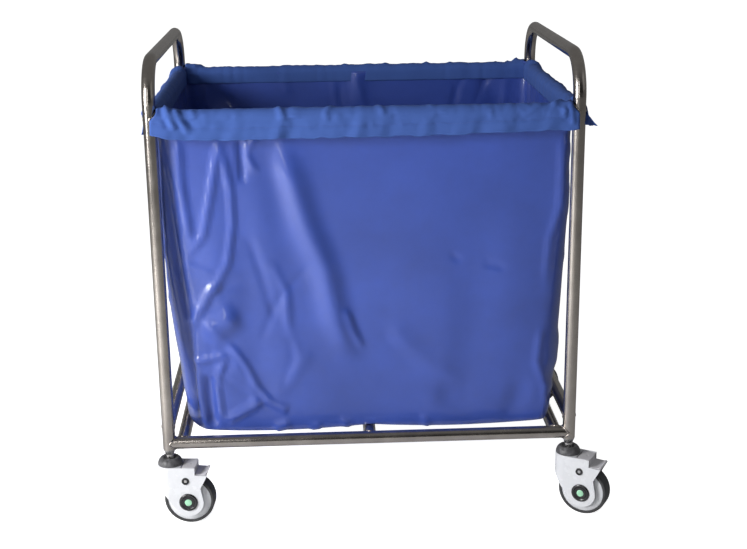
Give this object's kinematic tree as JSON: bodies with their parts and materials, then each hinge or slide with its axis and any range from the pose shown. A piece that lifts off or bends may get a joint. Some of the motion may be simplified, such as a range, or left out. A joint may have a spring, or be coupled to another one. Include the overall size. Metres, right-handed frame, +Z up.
{
  "type": "linen trolley",
  "caption": "Hospital linen trolley: a stainless tube frame with end handles and swivel casters with brake pedals, holding an open cloth bag turned over the rim.",
  "frame": {"origin": "on the floor under the middle of the four legs", "axes": "+X along the trolley's long side, towards the right end frame; -Y is the front; +Z up"},
  "size_m": [0.9087, 0.6717, 0.9275],
  "materials": {
    "stainless_steel": "satin polished stainless tube",
    "bag_cloth": "royal blue coated nylon cloth, slightly glossy",
    "white_plastic": "semi-gloss moulded nylon",
    "pedal_plastic": "satin light grey moulded nylon",
    "collar_plastic": "dark grey moulded plastic with a leathery grain",
    "cap_plastic": "black moulded plastic",
    "plug_plastic": "light green moulded plastic",
    "tyre_rubber": "dark grey thermoplastic rubber",
    "bearing_steel": "ground steel"
  },
  "bodies": {
    "frame": {"end_frame_left": "stainless_steel", "end_frame_right": "stainless_steel", "rim_front_bar": "stainless_steel", "rim_back_bar": "stainless_steel", "rim_left_bar": "stainless_steel", "rim_right_bar": "stainless_steel", "base_front_rail": "stainless_steel", "base_back_rail": "stainless_steel", "base_left_bar": "stainless_steel", "base_centre_bar": "stainless_steel", "base_right_bar": "stainless_steel", "end_rail_left": "stainless_steel", "end_rail_right": "stainless_steel", "leg_inserts": "bearing_steel", "caster_stems": "bearing_steel", "stem_collars": "collar_plastic", "bag_body": "bag_cloth", "bag_cuffs": "bag_cloth"},
    "caster_fl": {"fork_front_left": "white_plastic", "swivel_bearing_front_left": "bearing_steel", "axle_front_left": "bearing_steel", "side_caps_front_left": "cap_plastic", "axle_plugs_front_left": "plug_plastic", "pedal_pivots_front_left": "bearing_steel"},
    "wheel_fl": {"wheel_hub_front_left": "white_plastic", "wheel_bearings_front_left": "bearing_steel", "tyre_front_left": "tyre_rubber"},
    "pedal_fl": {"brake_pedal_front_left": "pedal_plastic"},
    "caster_fr": {"fork_front_right": "white_plastic", "swivel_bearing_front_right": "bearing_steel", "axle_front_right": "bearing_steel", "side_caps_front_right": "cap_plastic", "axle_plugs_front_right": "plug_plastic", "pedal_pivots_front_right": "bearing_steel"},
    "wheel_fr": {"wheel_hub_front_right": "white_plastic", "wheel_bearings_front_right": "bearing_steel", "tyre_front_right": "tyre_rubber"},
    "pedal_fr": {"brake_pedal_front_right": "pedal_plastic"},
    "caster_bl": {"fork_back_left": "white_plastic", "swivel_bearing_back_left": "bearing_steel", "axle_back_left": "bearing_steel", "side_caps_back_left": "cap_plastic", "axle_plugs_back_left": "plug_plastic", "pedal_pivots_back_left": "bearing_steel"},
    "wheel_bl": {"wheel_hub_back_left": "white_plastic", "wheel_bearings_back_left": "bearing_steel", "tyre_back_left": "tyre_rubber"},
    "pedal_bl": {"brake_pedal_back_left": "pedal_plastic"},
    "caster_br": {"fork_back_right": "white_plastic", "swivel_bearing_back_right": "bearing_steel", "axle_back_right": "bearing_steel", "side_caps_back_right": "cap_plastic", "axle_plugs_back_right": "plug_plastic", "pedal_pivots_back_right": "bearing_steel"},
    "wheel_br": {"wheel_hub_back_right": "white_plastic", "wheel_bearings_back_right": "bearing_steel", "tyre_back_right": "tyre_rubber"},
    "pedal_br": {"brake_pedal_back_right": "pedal_plastic"}
  },
  "joints": [
    {"name": "swivel_fl", "type": "hinge", "parent": "frame", "child": "caster_fl", "pos_m": [-0.399, -0.2935, 0.118], "axis": [0, 0, 1], "continuous": true},
    {"name": "wheel_spin_fl", "type": "hinge", "parent": "caster_fl", "child": "wheel_fl", "pos_m": [-0.36214, -0.29672, 0.05], "axis": [-0.0872, -0.9962, 0], "continuous": true},
    {"name": "brake_pedal_fl", "type": "hinge", "parent": "caster_fl", "child": "pedal_fl", "pos_m": [-0.36613, -0.29638, 0.0955], "axis": [0.0872, 0.9962, 0], "range_deg": [0, 10]},
    {"name": "swivel_fr", "type": "hinge", "parent": "frame", "child": "caster_fr", "pos_m": [0.399, -0.2935, 0.118], "axis": [0, 0, 1], "continuous": true},
    {"name": "wheel_spin_fr", "type": "hinge", "parent": "caster_fr", "child": "wheel_fr", "pos_m": [0.43104, -0.312, 0.05], "axis": [-0.5, -0.866, 0], "continuous": true},
    {"name": "brake_pedal_fr", "type": "hinge", "parent": "caster_fr", "child": "pedal_fr", "pos_m": [0.42758, -0.31, 0.0955], "axis": [0.5, 0.866, 0], "range_deg": [0, 10]},
    {"name": "swivel_bl", "type": "hinge", "parent": "frame", "child": "caster_bl", "pos_m": [-0.399, 0.2935, 0.118], "axis": [0, 0, 1], "continuous": true},
    {"name": "wheel_spin_bl", "type": "hinge", "parent": "caster_bl", "child": "wheel_bl", "pos_m": [-0.36281, 0.28581, 0.05], "axis": [-0.2079, -0.9781, 0], "continuous": true},
    {"name": "brake_pedal_bl", "type": "hinge", "parent": "caster_bl", "child": "pedal_bl", "pos_m": [-0.36672, 0.28664, 0.0955], "axis": [0.2079, 0.9781, 0], "range_deg": [0, 10]},
    {"name": "swivel_br", "type": "hinge", "parent": "frame", "child": "caster_br", "pos_m": [0.399, 0.2935, 0.118], "axis": [0, 0, 1], "continuous": true},
    {"name": "wheel_spin_br", "type": "hinge", "parent": "caster_br", "child": "wheel_br", "pos_m": [0.43377, 0.28085, 0.05], "axis": [-0.342, -0.9397, 0], "continuous": true},
    {"name": "brake_pedal_br", "type": "hinge", "parent": "caster_br", "child": "pedal_br", "pos_m": [0.43001, 0.28221, 0.0955], "axis": [0.342, 0.9397, 0], "range_deg": [0, 10]}
  ]
}
